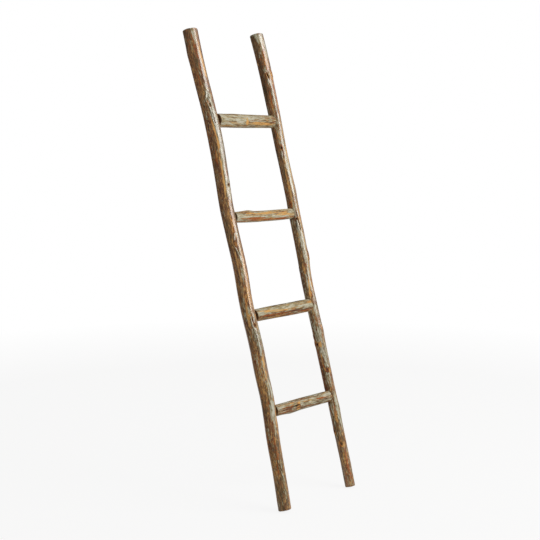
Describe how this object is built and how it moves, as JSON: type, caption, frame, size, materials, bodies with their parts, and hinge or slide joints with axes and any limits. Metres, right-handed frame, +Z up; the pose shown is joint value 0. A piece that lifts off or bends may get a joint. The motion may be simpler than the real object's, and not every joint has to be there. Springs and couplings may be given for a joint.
{
  "type": "decorative ladder",
  "caption": "Rustic leaning ladder of crooked peeled poles with round rungs, for hanging blankets, towels or plants against a wall.",
  "frame": {"origin": "on the floor, under the middle of the leaning ladder's bounding box", "axes": "+Z up, +X across the ladder to the right seen from its front, -Y the front, +Y towards the wall that the top leans on"},
  "size_m": [0.4248, 0.5436, 1.7746],
  "materials": {
    "rail_wood": "weathered brown pole with rust and ochre streaks and a worn sage-grey wash, waxed to a low gloss",
    "rung_wood": "weathered pole with a grey-green wash, ochre and rust streaks, dull satin",
    "plug_wood": "side-grain plug, stained as the rails",
    "screw_steel": "zinc-plated steel"
  },
  "bodies": {
    "root": {"left_rail": "rail_wood", "right_rail": "rail_wood", "rung_1": "rung_wood", "rung_2": "rung_wood", "rung_3": "rung_wood", "rung_4": "rung_wood", "rung_1_left_screw": "screw_steel", "rung_1_right_screw": "screw_steel", "rung_2_left_screw": "screw_steel", "rung_2_right_screw": "screw_steel", "rung_3_left_screw": "screw_steel", "rung_3_right_screw": "screw_steel", "rung_4_left_screw": "screw_steel", "rung_4_right_screw": "screw_steel", "rung_1_left_plug": "plug_wood", "rung_1_right_plug": "plug_wood", "rung_2_left_plug": "plug_wood", "rung_2_right_plug": "plug_wood", "rung_3_left_plug": "plug_wood", "rung_3_right_plug": "plug_wood", "rung_4_left_plug": "plug_wood", "rung_4_right_plug": "plug_wood"}
  },
  "joints": []
}
